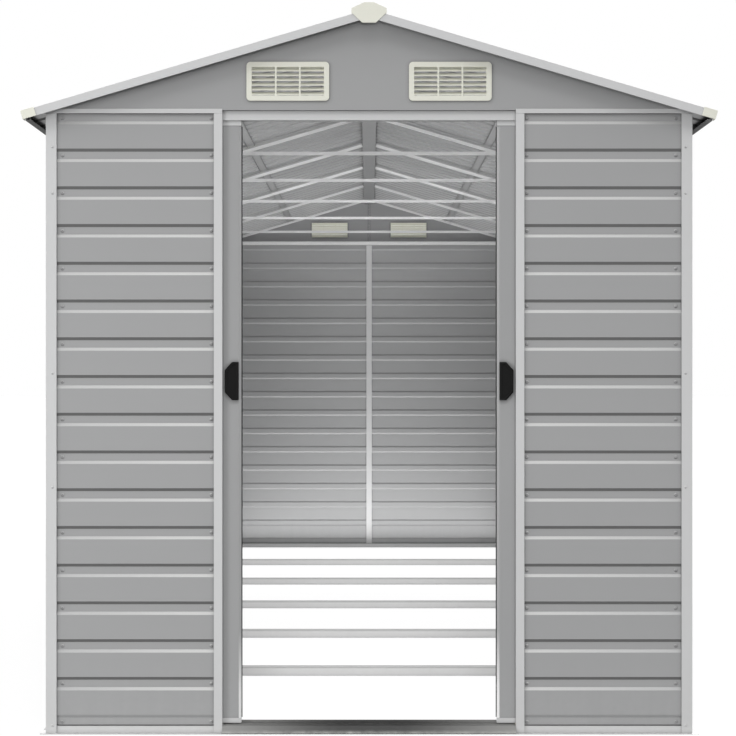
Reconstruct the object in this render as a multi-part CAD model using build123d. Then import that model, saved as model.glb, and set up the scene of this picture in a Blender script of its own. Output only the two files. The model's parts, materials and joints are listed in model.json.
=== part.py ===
from build123d import *
import math
import os

# Metal storage shed with two sliding doors, folded and roll-formed from thin sheet.
# Frame: +X to the right seen from the door side, +Y from the door wall to the rear wall, +Z up.
# The origin is on the ground in the middle of the plan. Lengths are in millimetres.

# Building
wall_width = 1775.0         # between the outer faces of the side walls
bay = 860.0                 # spacing of the side posts, trusses and floor bars
end_bay = 980.0             # from a gable wall to the first side post
middle_bays = 4             # bays between the two end bays
wall_top = 1702.0           # top of the posts and wall sheets
roof_pitch = 16.4           # slope of the roof, in degrees
roof_rise = 6.0             # roof underside over the wall top, at the outer wall face
eave_overhang = 55.5        # roof beyond the side walls
verge_overhang = 50.0       # roof beyond the gable walls

# Sheet metal
cladding = 0.4              # thickness of the ribbed sheets and gables
folded = 0.8                # thickness of the folded posts, rails and trims
seat = 0.3                  # clearance between pieces that bear on each other
rib_pitch = 103.7           # from rib to rib on walls and roof
groove = 28.8               # width of a wall groove or roof rib at half its depth
flank = 8.2                 # run of a groove's or rib's sloping side along the sheet
groove_depth = 4.0          # depth of a wall groove across the sheet
rib_height = 8.0            # height of a roof rib
bottom_groove = 26.7        # first part groove at the foot of a wall sheet

# Base rails and floor bars
ledge_height = 19.5         # top of the base rails, which carries posts and sheets
ground_flange = 15.0        # flange on the ground outside the walls
base_depth = 40.0           # base rail under the side and rear walls
sill_depth = 45.7           # base rail under the door wall
bar_height = 28.0           # floor bar across the shed
bar_width = 40.0
anchor_bore = 7.0           # holes in the ground flanges of the side rails
anchor_setback = 120.0      # from the front ends of the side rails, and as far from the middle at the rear
sill_toe = 12.0             # foot of the door sill in front of the wall face
sill_nose = 2.0             # front edge of its tread behind the wall face

# Posts
post_return = 3.2           # edge fold of a post, behind its face sheet
corner_face = 29.4          # each leg of a corner post
jamb_face = 23.3            # post beside the doorway
post_face = 24.0            # cover strip outside the wall sheets
post_back = 31.0            # strap behind it, inside
sheet_setback = 14.0        # from an outer corner to the edge of a wall sheet

# Top rails and gables
rail_lip = 13.0             # upstand of the gable wall rails
gable_rise = 8.5            # foot of the gables over the wall top
side_rail_depth = 44.0      # wall plate on the side walls
gable_shelf = 46.0          # fold at the foot of a gable, inwards
gable_flange = 30.0         # fold under the roof sheets, inwards
seam_fold = 10.0            # folds at the middle of the rear gable, inwards

# Vents
vent_width = 227.0
vent_height = 107.0
vent_corner = 11.0          # corner radius of the vent's face
vent_border = 14.5          # face around the blades
vent_proud = 5.5            # thickness of the face in front of the gable
vent_depth = 12.0           # sleeve behind the face
vent_wall = 2.0             # wall of the sleeve
vent_gap = 0.5              # sleeve to the edge of its cut-out
vent_offset = 223.0         # centre of a vent from the middle of the gable
vent_lift = 79.0            # centre of a vent over the foot of the gable
blade_count = 6
blade_thickness = 2.4
blade_rise = 9.0            # from a blade's front edge to its back edge
mullion_count = 2
mullion_width = 5.0
mullion_depth = 1.6         # bars in front of the blades

# Roof frame
beam_width = 54.0           # ridge beam
beam_height = 26.0
purlin_offset = 444.0       # purlin from the middle of the roof
purlin_width = 30.0
purlin_height = 8.0
rafter_width = 12.0
rafter_height = 16.0
gable_angle_leg = 14.0      # leg of the angle between a gable and its flange
tie_height = 11.0           # tie bar from wall plate to wall plate
tie_flange = 11.0

# Roof skin and trims
sheets_per_slope = 6
sheet_gap = 0.6             # between neighbouring sheets
ridge_gap = 8.0             # roof sheets from the top of the slope
verge_face = 22.4           # face of the trim along the gable edge
verge_flange = 35.0         # its fold over the roof sheet
eave_flange = 30.0          # fold of the eave trim over the roof sheet
eave_lip = 14.0             # fold of the eave trim under the roof
ridge_wing = 60.0           # each side of the ridge capping
cap_length = 36.0           # eave end cap along the slope
cap_width = 34.0            # eave end cap along the eave
cap_wall = 2.0              # wall of the moulded caps
hood_length = 52.0          # ridge end cap along the ridge
hood_top = 26.0             # width of its flat top
hood_width = 96.0           # its widest part
hood_foot = 37.0            # width of its foot
hood_rise = 28.0            # top over the roof's underside at the ridge
hood_shoulder = 12.0        # upper end of the widest part, over the same point
hood_drop = 28.0            # foot under the same point

# Door tracks
doorway_width = 806.0       # between the jambs
track_gap = 3.3             # wall sheets to the upper track
track_width = 30.0          # outside width of the upper track
header_drop = 26.0          # height of the upper track
sill_lip = 8.5              # rear upstand of the lower track
sill_front_lip = 3.0        # front upstand of the lower track
guide_width = 3.0           # fold in the lower track that the doors straddle
guide_height = 2.4

# Doors
door_reveal = 51.0          # door showing beside the jamb when open
door_lap = 37.0             # door behind the jamb when closed
meeting_gap = 6.0           # between the closed doors
door_depth = 14.0           # stiles, front to back
door_foot = 5.8             # bottom of the doors over the base ledge
door_entry = 10.0           # top of the doors inside the upper track
door_rail_face = 13.7       # lower rail, which also shows under the header as the upper rail
leading_stile = 64.0
trailing_stile = 30.0
stile_bevel = 7.0           # bevel at the leading edge, across the face
bevel_depth = 5.0           # bevel at the leading edge, front to back
field_recess = 6.0          # ribbed field behind the faces of the stiles
field_tuck = 14.0           # field behind each stile
field_groove = 6.0          # depth of the field's grooves
handle_width = 38.0
handle_height = 105.0
handle_depth = 14.0
handle_slant = 20.0         # cut corners towards the jamb, across
handle_drop = 22.0          # cut corners towards the jamb, upright
handle_rim = 6.0            # rim around the finger dish
handle_dish = 3.0           # depth of the finger dish
handle_chamfer = 2.0
handle_centre = 967.0       # height of the handle over the ground
handle_clearance = 6.0      # handle to the jamb when the door is open
shoe_length = 40.0          # sliding shoes and guides
shoe_inset = 50.0           # from the ends of a door to its shoes
shoe_gap = 0.5              # side clearance in the tracks
guide_block = 8.0           # height of the upper guide blocks
overrun = 20.0              # extra reach of the tools that cut

# Sizes that follow from those above
wall_length = middle_bays * bay + 2 * end_bay
half_width = wall_width / 2
half_length = wall_length / 2
post_places = [half_length - end_bay - i * bay for i in range(middle_bays + 1)]
slope_sin = math.sin(math.radians(roof_pitch))
slope_cos = math.cos(math.radians(roof_pitch))
slope_tan = slope_sin / slope_cos
apex = wall_top + roof_rise + half_width * slope_tan
return_depth = folded + post_return
riser = return_depth + seat
sheet_face = return_depth + seat
sheet_back = sheet_face + groove_depth + cladding
post_inner = sheet_back + seat
gable_face = folded + seat
gable_foot = wall_top + gable_rise
header_bottom = gable_foot - header_drop
track_front = sheet_back + track_gap
track_back = track_front + track_width
door_front = (track_front + track_back - door_depth) / 2
door_back = door_front + door_depth
door_bottom = ledge_height + door_foot
door_top = header_bottom + door_entry
doorway_half = doorway_width / 2
lead_open = doorway_half - door_reveal
door_width = doorway_half - meeting_gap / 2 + door_lap
rib_top = rib_height + cladding
trim_top = rib_top + seat + folded
trim_foot = trim_top - verge_face
eave_run = (half_width + eave_overhang) / slope_cos
verge_line = half_length + verge_overhang
shelf_run = half_length - gable_face - gable_shelf - seat
flange_run = half_length - gable_face - gable_flange - seat
plate_run = half_width - side_rail_depth - seat


# Outlines and solids

def folded_sheet(path, thickness):
    """Outline of a folded sheet: one face follows the path, the thickness lies to its left."""
    normals = []
    for (x0, y0), (x1, y1) in zip(path, path[1:]):
        run = math.hypot(x1 - x0, y1 - y0)
        normals.append(((y0 - y1) / run, (x1 - x0) / run))
    other_face = []
    for i, (x, y) in enumerate(path):
        before = normals[max(i - 1, 0)]
        after = normals[min(i, len(normals) - 1)]
        reach = thickness / (1 + before[0] * after[0] + before[1] * after[1])
        other_face.append((x + (before[0] + after[0]) * reach, y + (before[1] + after[1]) * reach))
    return [*path, *reversed(other_face)]


def rectangle(x0, x1, y0, y1):
    return [(x0, y0), (x1, y0), (x1, y1), (x0, y1)]


def prism(outline, plane, start, end):
    """Extrudes an outline drawn in the plane, from start to end along the plane's normal."""
    face = plane.offset(start) * make_face(Polyline(*outline, close=True))
    return extrude(face, amount=end - start, dir=plane.z_dir)


def along_x(outline, start, end):
    """A bar along X whose outline is given as (y, z)."""
    return prism(outline, Plane.YZ, start, end)


def along_y(outline, start, end):
    """A bar along Y whose outline is given as (x, z)."""
    return Location((0, start, 0)) * prism(outline, Plane.XZ, start - end, 0)


def along_z(outline, start, end):
    """A bar along Z whose outline is given as (x, y)."""
    return prism(outline, Plane.XY, start, end)


# Each wall is drawn as seen from outside: x to the right, y inwards from its outer face, z up.
front_wall = Location((0, -half_length, 0))
rear_wall = Location((0, half_length, 0), (0, 0, 180))
left_wall = Location((-half_width, 0, 0), (0, 0, -90))

# The right slope is drawn with x down the slope from the ridge, y along it and z out of the roof.
right_slope = Location((0, 0, apex), (0, roof_pitch, 0))


def mirrored(pieces):
    """The same pieces on the other side of the middle plane between left and right."""
    return [mirror(piece, about=Plane.YZ) for piece in pieces]


def turned(pieces):
    """The same pieces at the other end of the shed."""
    return [Location((0, 0, 0), (0, 0, 180)) * piece for piece in pieces]


# Base rails, floor bars and lower door track

def base_rail(depth, start, end):
    """Flange on the ground, riser, ledge for posts and sheets, and inner leg."""
    path = [(-ground_flange, 0), (riser + folded, 0), (riser + folded, ledge_height - folded),
            (riser + depth - folded, ledge_height - folded), (riser + depth - folded, 0)]
    return along_x(folded_sheet(path, folded), start, end)


def gable_wall_rail(depth):
    reach = half_width + ground_flange
    rail = base_rail(depth, -reach, reach)
    for side in (-1, 1):
        # Past the corner posts only the ground flange runs on.
        inner = side * (half_width - riser)
        outer = side * (reach + overrun)
        rail -= along_x(rectangle(-overrun, riser + depth + overrun, folded, ledge_height + overrun),
                        min(inner, outer), max(inner, outer))
        rail -= along_x(rectangle(riser + folded, riser + depth + overrun, -overrun, ledge_height),
                        min(inner, outer), max(inner, outer))
    return rail


def side_rail():
    front_end = half_length - riser - sill_depth - seat
    rear_end = half_length - riser - base_depth - seat
    rail = base_rail(base_depth, -rear_end, front_end)
    for place in (anchor_setback - front_end, front_end - anchor_setback):
        rail -= Location((place, -ground_flange / 2, 0)) * Cylinder(anchor_bore / 2, overrun)
    return left_wall * rail


def floor_bar(place):
    half_bar = bar_width / 2
    path = [(place - half_bar, bar_height), (place - half_bar, 0), (place + half_bar, 0),
            (place + half_bar, bar_height)]
    reach = half_width - riser - base_depth - seat
    return along_x(folded_sheet(path, folded), -reach, reach)


track_floor = ledge_height + seat
lower_track_front = post_inner + folded + seat
lower_track_back = riser + sill_depth
guide_line = (door_front + door_back) / 2
guide_left = guide_line - guide_width / 2
guide_right = guide_line + guide_width / 2


def lower_track():
    """Shallow channel on the base ledge, with a fold along it that the sliding shoes straddle."""
    path = [(lower_track_front, track_floor + sill_front_lip), (lower_track_front, track_floor),
            (guide_left, track_floor), (guide_left, track_floor + guide_height),
            (guide_right, track_floor + guide_height), (guide_right, track_floor),
            (lower_track_back, track_floor), (lower_track_back, track_floor + sill_lip)]
    reach = half_width - post_inner - folded - seat
    return front_wall * along_x(folded_sheet(path, folded), -reach, reach)


def door_sill():
    """Plate between the jambs: a tread over the base ledge and a slope down to the ground flange."""
    tread = track_floor + folded
    toe = 2 * folded + seat
    path = [(lower_track_front - seat, tread), (sill_nose, tread), (-sill_toe, toe)]
    reach = doorway_half - seat
    return front_wall * along_x(folded_sheet(path, folded), -reach, reach)


# Posts

def corner_post():
    """Angle with folded edges, at the left end of the door wall."""
    left = -half_width
    path = [(left + return_depth, corner_face), (left, corner_face), (left, 0),
            (left + corner_face, 0), (left + corner_face, return_depth)]
    return front_wall * along_z(folded_sheet(path, folded), folded, wall_top)


def post_front(left, right):
    """Outer face of a post with a folded edge on each side."""
    path = [(left, return_depth), (left, 0), (right, 0), (right, return_depth)]
    return along_z(folded_sheet(path, folded), folded, wall_top)


def door_jamb():
    """Left jamb: its inner fold closes the edge of the wall sheet."""
    right = -doorway_half
    fold = rectangle(right - folded, right, 0, post_inner)
    return front_wall * (post_front(right - jamb_face, right) + along_z(fold, ledge_height + seat, wall_top))


def wall_post(place):
    """Cover strip outside and strap inside, screwed together through the wall sheet."""
    strap = rectangle(place - post_back / 2, place + post_back / 2, post_inner, post_inner + folded)
    cover = post_front(place - post_face / 2, place + post_face / 2)
    return [cover, along_z(strap, ledge_height + seat, wall_top)]


# Ribbed sheets

def ribbed_path(foot, top, plank_face, depth):
    """Inner face of a ribbed sheet from its foot to its top, as (inwards, up)."""
    plank = rib_pitch - groove
    count = int((top - foot - bottom_groove - plank - flank) // rib_pitch) + 1
    low = plank_face + depth
    path = [(low, foot)]
    for i in range(count):
        start = foot + bottom_groove + i * rib_pitch
        end = start + plank
        path += [(low, start - flank / 2), (plank_face, start + flank / 2),
                 (plank_face, end - flank / 2), (low, end + flank / 2)]
    return path + [(low, top)]


def wall_sheet(start, end):
    path = ribbed_path(ledge_height + seat, wall_top, sheet_face + cladding, groove_depth)
    return along_x(folded_sheet(path, cladding), start, end)


def side_sheets():
    """Long sheets that meet behind every second post."""
    end = half_length - sheet_setback
    joints = [end, *post_places[1::2], -end]
    return [left_wall * wall_sheet(low + sheet_gap / 2, high - sheet_gap / 2)
            for high, low in zip(joints, joints[1:])]


# Top rails, gables and vents

def gable_wall_plate(start, end):
    """Channel on top of a gable wall; the gable stands behind its outer lip."""
    foot = wall_top + seat
    back = post_inner + folded
    path = [(0, wall_top + rail_lip), (0, foot), (back, foot), (back, gable_foot)]
    return along_x(folded_sheet(path, folded), start, end)


def side_wall_plate():
    """Channel on top of a side wall; both its edges reach up to the roof sheets."""
    foot = wall_top + seat
    outer = wall_top + roof_rise - seat
    inner = wall_top + roof_rise + (side_rail_depth - folded) * slope_tan - seat
    path = [(0, outer), (0, foot), (side_rail_depth, foot), (side_rail_depth, inner)]
    return left_wall * along_x(folded_sheet(path, folded), -shelf_run, shelf_run)


def upper_track():
    """Channel, open below, that guides the tops of the doors and shows as the header."""
    path = [(track_back, header_bottom), (track_back, gable_foot), (track_front, gable_foot),
            (track_front, header_bottom)]
    reach = half_width - post_inner - seat
    return front_wall * along_x(folded_sheet(path, folded), -reach, reach)


opening_width = vent_width - 2 * vent_border
opening_height = vent_height - 2 * vent_border
vent_level = gable_foot + vent_lift


def gable():
    """Flat gable sheet with a shelf fold at its foot and flanges under the roof sheets."""
    foot = gable_foot + seat
    tip = apex - (seat + cladding) / slope_cos
    reach = (tip - foot) / slope_tan
    back = gable_face + cladding
    sheet = along_y([(-reach, foot), (reach, foot), (0, tip)], gable_face, back)
    sheet += along_x(rectangle(gable_face, gable_face + gable_shelf, foot, foot + cladding),
                     -reach + overrun, reach - overrun)
    flange = right_slope * along_x(
        rectangle(gable_face, gable_face + gable_flange, -seat - cladding, -seat),
        -overrun, (reach - overrun) / slope_cos)
    flange = split(flange, bisect_by=Plane.YZ, keep=Keep.TOP)
    sheet += flange
    sheet += mirror(flange, about=Plane.YZ)
    half_hole = opening_width / 2 + vent_wall + vent_gap
    hole_height = opening_height / 2 + vent_wall + vent_gap
    for side in (-1, 1):
        centre = side * vent_offset
        hole = rectangle(centre - half_hole, centre + half_hole, vent_level - hole_height,
                         vent_level + hole_height)
        sheet -= along_y(hole, -overrun, back + vent_border)
    return sheet


def half_gable():
    """Right half of a gable made in two pieces, with a standing fold at the middle."""
    side = seat + cladding
    top = apex - 2 * side
    fold = along_y(rectangle(seat, side, gable_foot + seat, top), gable_face, gable_face + seam_fold)
    return split(gable(), bisect_by=Plane.YZ.offset(seat), keep=Keep.TOP) + fold


def vent(centre):
    """Moulded vent: rounded face, sleeve through the gable, sloping blades and mullions."""
    face_back = gable_face - seat
    face_front = face_back - vent_proud
    sleeve_back = gable_face + vent_depth
    half_open = opening_width / 2
    opening_foot = -opening_height / 2
    outline = make_face(RectangleRounded(vent_width, vent_height, vent_corner).wire())
    body = extrude(Plane.XZ.offset(-face_back) * outline, amount=vent_proud)
    body += along_y(rectangle(-half_open - vent_wall, half_open + vent_wall, opening_foot - vent_wall,
                              vent_wall - opening_foot), face_front + vent_wall, sleeve_back)
    body -= along_y(rectangle(-half_open, half_open, opening_foot, -opening_foot),
                    face_front - overrun, sleeve_back + overrun)
    pitch = opening_height / blade_count
    front = face_front + mullion_depth + seat
    first_edge = opening_foot + (pitch - blade_rise - blade_thickness) / 2
    for i in range(blade_count):
        edge = first_edge + i * pitch
        blade = [(front, edge), (sleeve_back, edge + blade_rise),
                 (sleeve_back, edge + blade_rise + blade_thickness), (front, edge + blade_thickness)]
        body += along_x(blade, -half_open, half_open)
    for i in range(mullion_count):
        middle = half_open * (2 * (i + 1) / (mullion_count + 1) - 1)
        bar = rectangle(middle - mullion_width / 2, middle + mullion_width / 2, opening_foot, -opening_foot)
        body += along_y(bar, face_front, face_front + mullion_depth)
    return Location((centre, 0, vent_level)) * body


# Roof frame

beam_half = beam_width / 2
beam_top = apex - beam_half * slope_tan - seat / slope_cos


def ridge_beam():
    path = [(-beam_half, beam_top), (-beam_half, beam_top - beam_height),
            (beam_half, beam_top - beam_height), (beam_half, beam_top)]
    return along_y(folded_sheet(path, folded), -flange_run, flange_run)


rafter_top = -purlin_height - 2 * seat
rafter_foot = rafter_top - rafter_height


def rafter(place):
    """Channel under the right slope, from the ridge beam to the wall plate."""
    front = place - rafter_width / 2
    back = place + rafter_width / 2
    path = [(back, rafter_top), (front, rafter_top), (front, rafter_foot), (back, rafter_foot)]
    start = (beam_half + seat - rafter_foot * slope_sin) / slope_cos
    end = (plate_run - rafter_top * slope_sin) / slope_cos
    return right_slope * along_x(folded_sheet(path, folded), start, end)


def gable_angle():
    """Angle in the corner between a gable and its right flange, drawn behind the gable wall's face."""
    edge = gable_face + gable_flange
    top = -2 * seat - cladding
    foot = top - gable_angle_leg
    lowest = gable_foot + 2 * seat + cladding
    path = [(edge, foot), (edge, top), (gable_face + cladding + seat, top)]
    start = (2 * seat + cladding - foot * slope_sin) / slope_cos
    end = (apex - lowest + foot * slope_cos) / slope_sin
    return right_slope * along_x(folded_sheet(path, folded), start, end)


def tie_bar(place):
    """Angle from wall plate to wall plate, against the back of a pair of rafters."""
    front = place + rafter_width / 2 + seat
    foot = wall_top + seat
    path = [(front + folded, foot + tie_height), (front + folded, foot + folded),
            (front + tie_flange, foot + folded)]
    return along_x(folded_sheet(path[::-1], folded), -plate_run, plate_run)


def purlin():
    """Shallow channel between the rafters and the right slope's sheets."""
    middle = purlin_offset / slope_cos
    left = middle - purlin_width / 2
    right = middle + purlin_width / 2
    top = -seat
    path = [(right, top - purlin_height), (right, top), (left, top), (left, top - purlin_height)]
    return right_slope * along_y(folded_sheet(path, folded), -flange_run, flange_run)


# Roof skin and trims

def roof_sheets():
    """Ribbed sheets of the right slope, side by side from the front verge to the rear one."""
    length = 2 * (verge_line - folded - seat)
    width = length / sheets_per_slope
    count = max(1, round(width / rib_pitch))
    pitch = width / count
    sheets = []
    for i in range(sheets_per_slope):
        start = -length / 2 + i * width
        path = [(start + sheet_gap / 2, 0)]
        for j in range(count):
            middle = start + (j + 1 / 2) * pitch
            outer = groove / 2 + flank / 2
            inner = groove / 2 - flank / 2
            path += [(middle - outer, 0), (middle - inner, rib_height),
                     (middle + inner, rib_height), (middle + outer, 0)]
        path.append((start + width - sheet_gap / 2, 0))
        sheet = along_x(folded_sheet(path, cladding), ridge_gap, eave_run - folded - seat)
        sheets.append(right_slope * sheet)
    return sheets


def verge_trim():
    """Trim along the front edge of the right slope, mitred at the ridge."""
    edge = -verge_line
    path = [(edge + verge_flange, trim_top), (edge, trim_top), (edge, trim_foot)]
    trim = right_slope * along_x(folded_sheet(path, folded), -overrun, eave_run - folded - seat)
    return split(trim, bisect_by=Plane.YZ.offset(seat / 2), keep=Keep.TOP)


trim_run = verge_line - verge_flange - seat


def eave_trim():
    """Trim around the lower ends of the right slope's sheets."""
    path = [(eave_run - eave_lip, trim_foot), (eave_run, trim_foot), (eave_run, trim_top),
            (eave_run - eave_flange, trim_top)]
    return right_slope * along_y(folded_sheet(path, folded), -trim_run, trim_run)


def eave_end_cap():
    """Moulded cap over the front corner of the right eave: three walls, open below and inside."""
    outer_edge = eave_run + seat
    front_edge = -verge_line - seat
    top_edge = trim_top + seat
    start = eave_run - cap_length
    shell = along_y(rectangle(start, outer_edge + cap_wall, trim_foot, top_edge + cap_wall),
                    front_edge - cap_wall, front_edge + cap_width)
    shell -= along_y(rectangle(start - overrun, outer_edge, trim_foot - overrun, top_edge),
                     front_edge, front_edge + cap_width + overrun)
    return right_slope * shell


def ridge_capping():
    """Folded strip over the upper ends of both slopes' sheets."""
    height = rib_top + seat
    wing_x = ridge_wing * slope_cos + height * slope_sin
    wing_z = apex - ridge_wing * slope_sin + height * slope_cos
    path = [(-wing_x, wing_z), (0, apex + height / slope_cos), (wing_x, wing_z)]
    return along_y(folded_sheet(path, folded), -trim_run, trim_run)


def ridge_end_cap():
    """Moulded cap over the front end of the ridge: shield-shaped face with a hood behind it."""
    half = hood_width / 2
    right_side = [(hood_top / 2, hood_rise), (half, hood_shoulder), (half, 0), (hood_foot / 2, -hood_drop)]
    outline = right_side + [(-x, z) for x, z in reversed(right_side)]
    face_back = -verge_line - seat
    front = face_back - cap_wall
    body = along_y([(x, apex + z) for x, z in outline], front, front + hood_length)
    crown = apex + (trim_top + seat) / slope_cos
    reach = half + overrun
    roof = [(0, crown), (reach, crown - reach * slope_tan), (reach, apex - hood_drop - overrun),
            (-reach, apex - hood_drop - overrun), (-reach, crown - reach * slope_tan)]
    return body - along_y(roof, face_back, front + hood_length + overrun)


# Left door, drawn where it stands open; the right one mirrors it

lead = -lead_open
trail = lead - door_width
leaf_foot = door_bottom + folded + seat
leaf_top = door_top - folded - seat
field_face = door_front + field_recess + seat


def door_leaf():
    """Leading and trailing stiles with a ribbed field tucked behind them."""
    fold = door_front + field_recess
    inner = lead - leading_stile
    leading = [(inner, fold), (inner, door_front), (lead - stile_bevel, door_front),
               (lead, door_front + bevel_depth), (lead, door_back)]
    inner = trail + trailing_stile
    trailing = [(trail, door_back), (trail, door_front), (inner, door_front), (inner, fold)]
    field = ribbed_path(leaf_foot, leaf_top, field_face + cladding, field_groove)
    pieces = [along_z(folded_sheet(leading, folded), leaf_foot, leaf_top),
              along_z(folded_sheet(trailing, folded), leaf_foot, leaf_top),
              along_x(folded_sheet(field, cladding), inner - field_tuck, lead - leading_stile + field_tuck)]
    return [front_wall * piece for piece in pieces]


def door_rails():
    """Channels along the bottom and the top of the leaf."""
    front = door_front - seat - folded
    back = door_back + seat + folded
    low = [(front, door_bottom + door_rail_face), (front, door_bottom), (back, door_bottom),
           (back, door_bottom + door_rail_face)]
    edge = header_bottom - door_rail_face
    high = [(back, edge), (back, door_top), (front, door_top), (front, edge)]
    return [front_wall * along_x(folded_sheet(path, folded), trail, lead) for path in (low, high)]


def door_shoes():
    """Two shoes that straddle the guide of the lower track and two guide blocks in the upper track."""
    floor = track_floor + folded + seat
    guide_top = track_floor + guide_height + folded + seat
    slot_left = guide_left - folded - shoe_gap
    slot_right = guide_right + folded + shoe_gap
    shoe = [(door_front, floor), (slot_left, floor), (slot_left, guide_top), (slot_right, guide_top),
            (slot_right, floor), (door_back, floor), (door_back, door_bottom), (door_front, door_bottom)]
    block = rectangle(track_front + folded + shoe_gap, track_back - folded - shoe_gap, door_top,
                      door_top + guide_block)
    pieces = []
    for start in (trail + shoe_inset, lead - shoe_inset - shoe_length):
        pieces += [along_x(shoe, start, start + shoe_length), along_x(block, start, start + shoe_length)]
    return [front_wall * piece for piece in pieces]


def door_handle():
    """Moulded pull with cut corners towards the jamb, a bevelled rim and a shallow finger dish."""
    left = -doorway_half + handle_clearance
    right = left + handle_width
    foot = handle_centre - handle_height / 2
    top = handle_centre + handle_height / 2
    slant = left + handle_slant
    corners = [(slant, foot), (right, foot), (right, top), (slant, top), (left, top - handle_drop),
               (left, foot + handle_drop)]
    outline = make_face(Polyline(*corners, close=True))
    back = door_front - seat
    front = back - handle_depth
    pull = extrude(Plane.XZ.offset(-back) * outline, amount=handle_depth)
    rim = pull.faces().sort_by(Axis.Y)[0].edges()
    pull = chamfer(rim, handle_chamfer)
    dish = extrude(Plane.XZ.offset(-front) * offset(outline, -handle_rim), amount=-handle_dish)
    return front_wall * (pull - dish)


# Nodes

def write(name, pieces):
    solids = [solid for piece in pieces for solid in piece.solids()]
    export_step(solids[0] if len(solids) == 1 else Compound(solids), os.path.join("parts", name + ".step"))


os.makedirs("parts", exist_ok=True)

side_base = [side_rail()]
write("front_base_rail", [front_wall * gable_wall_rail(sill_depth)])
write("rear_base_rail", [rear_wall * gable_wall_rail(base_depth)])
write("left_base_rail", side_base)
write("right_base_rail", mirrored(side_base))
write("floor_bars", [floor_bar(place) for place in post_places])
write("door_lower_track", [lower_track()])
write("door_sill", [door_sill()])

front_left_corner = [corner_post()]
front_right_corner = mirrored(front_left_corner)
write("front_left_corner_post", front_left_corner)
write("front_right_corner_post", front_right_corner)
write("rear_left_corner_post", turned(front_right_corner))
write("rear_right_corner_post", turned(front_left_corner))
left_jamb = [door_jamb()]
write("left_door_jamb", left_jamb)
write("right_door_jamb", mirrored(left_jamb))
write("rear_centre_post", [rear_wall * piece for piece in wall_post(0)])
left_posts = [left_wall * piece for place in post_places for piece in wall_post(place)]
write("left_wall_posts", left_posts)
write("right_wall_posts", mirrored(left_posts))

sheet_start = -half_width + sheet_setback
front_left_sheet = [front_wall * wall_sheet(sheet_start, -doorway_half - folded - seat)]
rear_sheet = [rear_wall * wall_sheet(sheet_start, -sheet_gap / 2)]
left_sheets = side_sheets()
write("front_left_panel", front_left_sheet)
write("front_right_panel", mirrored(front_left_sheet))
write("rear_right_panel", rear_sheet)
write("rear_left_panel", mirrored(rear_sheet))
write("left_wall_panels", left_sheets)
write("right_wall_panels", mirrored(left_sheets))

left_front_plate = [front_wall * gable_wall_plate(-half_width, -doorway_half)]
side_plate = [side_wall_plate()]
write("front_top_rails", left_front_plate + mirrored(left_front_plate))
write("rear_top_rail", [rear_wall * gable_wall_plate(-half_width, half_width)])
write("left_top_rail", side_plate)
write("right_top_rail", mirrored(side_plate))
write("door_upper_track", [upper_track()])

rear_half = [rear_wall * half_gable()]
vents = [vent(-vent_offset), vent(vent_offset)]
write("front_gable", [front_wall * gable()])
write("rear_gable", rear_half + mirrored(rear_half))
write("front_vents", [front_wall * piece for piece in vents])
write("rear_vents", [rear_wall * piece for piece in vents])

front_angle = [front_wall * gable_angle()]
right_rafters = [rafter(place) for place in post_places] + front_angle + turned(mirrored(front_angle))
right_purlin = [purlin()]
write("ridge_beam", [ridge_beam()])
write("left_rafters", mirrored(right_rafters))
write("right_rafters", right_rafters)
write("tie_bars", [tie_bar(place) for place in post_places])
write("left_purlin", mirrored(right_purlin))
write("right_purlin", right_purlin)

right_sheets = roof_sheets()
right_verge = [verge_trim()]
front_verges = right_verge + mirrored(right_verge)
right_eave = [eave_trim()]
right_caps = [eave_end_cap()]
front_caps = right_caps + mirrored(right_caps)
front_hood = [ridge_end_cap()]
write("left_roof_sheets", mirrored(right_sheets))
write("right_roof_sheets", right_sheets)
write("front_verge_trims", front_verges)
write("rear_verge_trims", turned(front_verges))
write("left_eave_trim", mirrored(right_eave))
write("right_eave_trim", right_eave)
write("ridge_capping", [ridge_capping()])
write("front_ridge_end_cap", front_hood)
write("rear_ridge_end_cap", turned(front_hood))
write("eave_end_caps", front_caps + turned(front_caps))

for part_name, door_pieces in (("leaf", door_leaf()), ("rails", door_rails()), ("shoes", door_shoes()),
                               ("handle", [door_handle()])):
    write("left_door_" + part_name, door_pieces)
    write("right_door_" + part_name, mirrored(door_pieces))
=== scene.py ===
# %% [markdown]
# # A metal storage shed with two sliding doors
# The building is a long, gabled garden shed of thin ribbed sheet. The sheets are painted grey, and the
# folded posts, rails and trims around them are painted a lighter grey. Its shapes come from the CAD
# frame, which stays exactly where it is. What this lesson adds is the view, the light, the finishes with
# some painted highlight and shade, rounded edges on the mouldings, the many screws that hold the sheets,
# a dark strip standing for the shade on each door's edge and a small lip on the rear gable.
# Everything is in metres: X to the right seen from the doors, Y towards the rear wall, Z up.

# %% Load the frame
import json
import math

import bmesh
import bpy
from mathutils import Matrix, Vector


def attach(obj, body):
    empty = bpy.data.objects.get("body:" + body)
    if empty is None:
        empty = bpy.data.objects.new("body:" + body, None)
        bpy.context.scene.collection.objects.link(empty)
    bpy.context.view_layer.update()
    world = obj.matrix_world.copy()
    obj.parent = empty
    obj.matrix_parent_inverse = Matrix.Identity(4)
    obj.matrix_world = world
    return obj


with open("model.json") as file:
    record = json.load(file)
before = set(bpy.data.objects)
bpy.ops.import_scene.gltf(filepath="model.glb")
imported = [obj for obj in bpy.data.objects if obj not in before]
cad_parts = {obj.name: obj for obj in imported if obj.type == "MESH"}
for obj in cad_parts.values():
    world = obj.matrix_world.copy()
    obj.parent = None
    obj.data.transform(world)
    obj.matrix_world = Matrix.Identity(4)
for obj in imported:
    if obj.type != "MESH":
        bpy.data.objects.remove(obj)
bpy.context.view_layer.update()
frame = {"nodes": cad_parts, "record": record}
nodes = frame["nodes"]
scene = bpy.context.scene

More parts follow.
